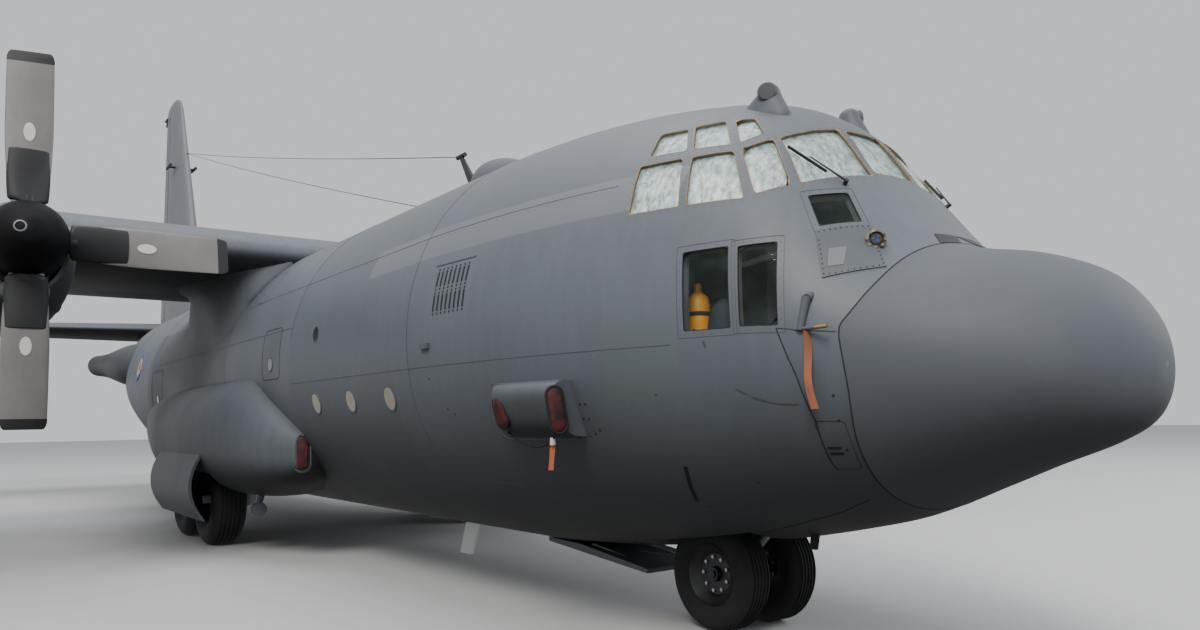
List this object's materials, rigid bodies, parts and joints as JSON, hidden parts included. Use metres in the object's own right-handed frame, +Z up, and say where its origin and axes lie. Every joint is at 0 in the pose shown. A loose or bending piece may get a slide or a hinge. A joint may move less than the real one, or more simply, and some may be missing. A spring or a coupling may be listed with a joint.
{
  "type": "four-engined military transport plane, half-size scale model",
  "caption": "High-wing turboprop transport plane on its wheels, with a hollow hold, rear ramp, glazed cockpit, turning propellers and working control surfaces.",
  "frame": {"origin": "centre of the overall box, on the ground plane", "axes": "+X to the port wing tip, +Y aft along the fuselage, +Z up"},
  "size_m": [20.205, 14.895, 5.83],
  "materials": {
    "airframe_paint": "matte blue-grey paint",
    "nose_paint": "smooth darker grey",
    "window_glass": "clear, slightly tinted",
    "cabin_metal": "dark grey paint",
    "instrument_metal": "matte black",
    "seat_fabric": "woven",
    "floor_metal": "worn, non-slip",
    "engine_metal": "heat-stained metal",
    "blade_paint": "satin black",
    "gear_paint": "gloss white",
    "tyre_rubber": "dusty rubber",
    "antenna_plastic": "satin"
  },
  "bodies": {
    "airframe": {"radome": "nose_paint", "forward_fuselage": "airframe_paint", "cockpit_glass": "window_glass", "flight_deck": "cabin_metal", "instrument_panel": "instrument_metal", "seat_port": "seat_fabric", "seat_starboard": "seat_fabric", "centre_fuselage": "airframe_paint", "paratroop_door_port": "airframe_paint", "paratroop_door_starboard": "airframe_paint", "cargo_floor": "floor_metal", "aft_fuselage": "airframe_paint", "tail_cone": "airframe_paint", "wing_centre": "airframe_paint", "wing_port": "airframe_paint", "wing_starboard": "airframe_paint", "nacelle_1": "airframe_paint", "engine_1": "engine_metal", "nacelle_2": "airframe_paint", "engine_2": "engine_metal", "nacelle_3": "airframe_paint", "engine_3": "engine_metal", "nacelle_4": "airframe_paint", "engine_4": "engine_metal", "tailplane": "airframe_paint", "fin": "airframe_paint", "gear_pod_port": "airframe_paint", "gear_door_port": "airframe_paint", "main_gear_port": "gear_paint", "gear_pod_starboard": "airframe_paint", "gear_door_starboard": "airframe_paint", "main_gear_starboard": "gear_paint", "nose_gear_leg": "gear_paint", "nose_gear_door": "airframe_paint", "air_scoop": "airframe_paint", "roof_dome": "nose_paint", "roof_mast": "airframe_paint", "belly_antenna": "antenna_plastic"},
    "crew_door": {"crew_door": "airframe_paint"},
    "cargo_ramp": {"cargo_ramp": "airframe_paint"},
    "cargo_door": {"cargo_door": "airframe_paint"},
    "aileron_port": {"aileron_port": "airframe_paint"},
    "aileron_starboard": {"aileron_starboard": "airframe_paint"},
    "flap_inner_port": {"flap_inner_port": "airframe_paint"},
    "flap_outer_port": {"flap_outer_port": "airframe_paint"},
    "flap_inner_starboard": {"flap_inner_starboard": "airframe_paint"},
    "flap_outer_starboard": {"flap_outer_starboard": "airframe_paint"},
    "propeller_1": {"propeller_1": "blade_paint"},
    "propeller_2": {"propeller_2": "blade_paint"},
    "propeller_3": {"propeller_3": "blade_paint"},
    "propeller_4": {"propeller_4": "blade_paint"},
    "elevator_port": {"elevator_port": "airframe_paint"},
    "elevator_starboard": {"elevator_starboard": "airframe_paint"},
    "rudder": {"rudder": "airframe_paint"},
    "wheel_front_port": {"wheel_front_port": "tyre_rubber"},
    "wheel_rear_port": {"wheel_rear_port": "tyre_rubber"},
    "wheel_front_starboard": {"wheel_front_starboard": "tyre_rubber"},
    "wheel_rear_starboard": {"wheel_rear_starboard": "tyre_rubber"},
    "nose_wheels": {"nose_wheels": "tyre_rubber"},
    "nose_steering": {"nose_gear_fork": "gear_paint"}
  },
  "joints": [
    {"name": "propeller_1_spin", "type": "hinge", "parent": "airframe", "child": "propeller_1", "pos_m": [5.05, -2.8975, 2.02346], "axis": [0, 1, 0], "continuous": true},
    {"name": "propeller_2_spin", "type": "hinge", "parent": "airframe", "child": "propeller_2", "pos_m": [2.49, -2.8975, 1.925], "axis": [0, 1, 0], "continuous": true},
    {"name": "propeller_3_spin", "type": "hinge", "parent": "airframe", "child": "propeller_3", "pos_m": [-2.49, -2.8975, 1.925], "axis": [0, 1, 0], "continuous": true},
    {"name": "propeller_4_spin", "type": "hinge", "parent": "airframe", "child": "propeller_4", "pos_m": [-5.05, -2.8975, 2.02346], "axis": [0, 1, 0], "continuous": true},
    {"name": "nose_steer", "type": "hinge", "parent": "airframe", "child": "nose_steering", "pos_m": [0, -5.7225, 0.24], "axis": [0, 0, 1], "range_deg": [-60, 60]},
    {"name": "nose_wheels_spin", "type": "hinge", "parent": "nose_steering", "child": "nose_wheels", "pos_m": [0, -5.7225, 0.24], "axis": [1, 0, 0], "continuous": true},
    {"name": "wheel_front_port_spin", "type": "hinge", "parent": "airframe", "child": "wheel_front_port", "pos_m": [1.0875, -1.2275, 0.345], "axis": [1, 0, 0], "continuous": true},
    {"name": "wheel_rear_port_spin", "type": "hinge", "parent": "airframe", "child": "wheel_rear_port", "pos_m": [1.0875, -0.4675, 0.345], "axis": [1, 0, 0], "continuous": true},
    {"name": "wheel_front_starboard_spin", "type": "hinge", "parent": "airframe", "child": "wheel_front_starboard", "pos_m": [-1.0875, -1.2275, 0.345], "axis": [1, 0, 0], "continuous": true},
    {"name": "wheel_rear_starboard_spin", "type": "hinge", "parent": "airframe", "child": "wheel_rear_starboard", "pos_m": [-1.0875, -0.4675, 0.345], "axis": [1, 0, 0], "continuous": true},
    {"name": "crew_door_swing", "type": "hinge", "parent": "airframe", "child": "crew_door", "pos_m": [0.65742, -5.26135, 0.53], "axis": [0.1196, 0.9928, 0], "range_deg": [0, 100]},
    {"name": "cargo_ramp_lower", "type": "hinge", "parent": "airframe", "child": "cargo_ramp", "pos_m": [0, 1.685, 0.3225], "axis": [-1, 0, 0], "range_deg": [0, 24]},
    {"name": "cargo_door_raise", "type": "hinge", "parent": "airframe", "child": "cargo_door", "pos_m": [0, 5.1025, 1.53], "axis": [-1, 0, 0], "range_deg": [0, 30]},
    {"name": "rudder_turn", "type": "hinge", "parent": "airframe", "child": "rudder", "pos_m": [0, 6.1525, 4.06], "axis": [0, 0, 1], "range_deg": [-35, 35]},
    {"name": "elevator_port_tilt", "type": "hinge", "parent": "airframe", "child": "elevator_port", "pos_m": [2.13, 6.4775, 2.265], "axis": [1, 0, 0], "range_deg": [-15, 40]},
    {"name": "elevator_starboard_tilt", "type": "hinge", "parent": "airframe", "child": "elevator_starboard", "pos_m": [-2.13, 6.4775, 2.265], "axis": [1, 0, 0], "range_deg": [-15, 40]},
    {"name": "aileron_port_tilt", "type": "hinge", "parent": "airframe", "child": "aileron_port", "pos_m": [8.1375, -0.08024, 2.48761], "axis": [0.9957, -0.0768, 0.0516], "range_deg": [-20, 20]},
    {"name": "aileron_starboard_tilt", "type": "hinge", "parent": "airframe", "child": "aileron_starboard", "pos_m": [-8.1375, -0.08024, 2.48761], "axis": [0.9957, 0.0768, -0.0516], "range_deg": [-20, 20]},
    {"name": "flap_inner_port_lower", "type": "hinge", "parent": "airframe", "child": "flap_inner_port", "pos_m": [1.94, 0.24327, 1.97524], "axis": [-1, 0, 0], "range_deg": [0, 36]},
    {"name": "flap_outer_port_lower", "type": "hinge", "parent": "airframe", "child": "flap_outer_port", "pos_m": [4.625, 0.11488, 2.10018], "axis": [-0.9959, 0.0699, -0.0571], "range_deg": [0, 36]},
    {"name": "flap_inner_starboard_lower", "type": "hinge", "parent": "airframe", "child": "flap_inner_starboard", "pos_m": [-1.94, 0.24327, 1.97524], "axis": [-1, 0, 0], "range_deg": [0, 36]},
    {"name": "flap_outer_starboard_lower", "type": "hinge", "parent": "airframe", "child": "flap_outer_starboard", "pos_m": [-4.625, 0.11488, 2.10018], "axis": [-0.9959, -0.0699, 0.0571], "range_deg": [0, 36]}
  ],
  "couplings": [
    {"joint": "elevator_starboard_tilt", "follows": "elevator_port_tilt", "ratio": 1},
    {"joint": "aileron_starboard_tilt", "follows": "aileron_port_tilt", "ratio": -1},
    {"joint": "flap_inner_port_lower", "follows": "flap_outer_port_lower", "ratio": 1},
    {"joint": "flap_inner_starboard_lower", "follows": "flap_outer_port_lower", "ratio": 1},
    {"joint": "flap_outer_starboard_lower", "follows": "flap_outer_port_lower", "ratio": 1}
  ]
}
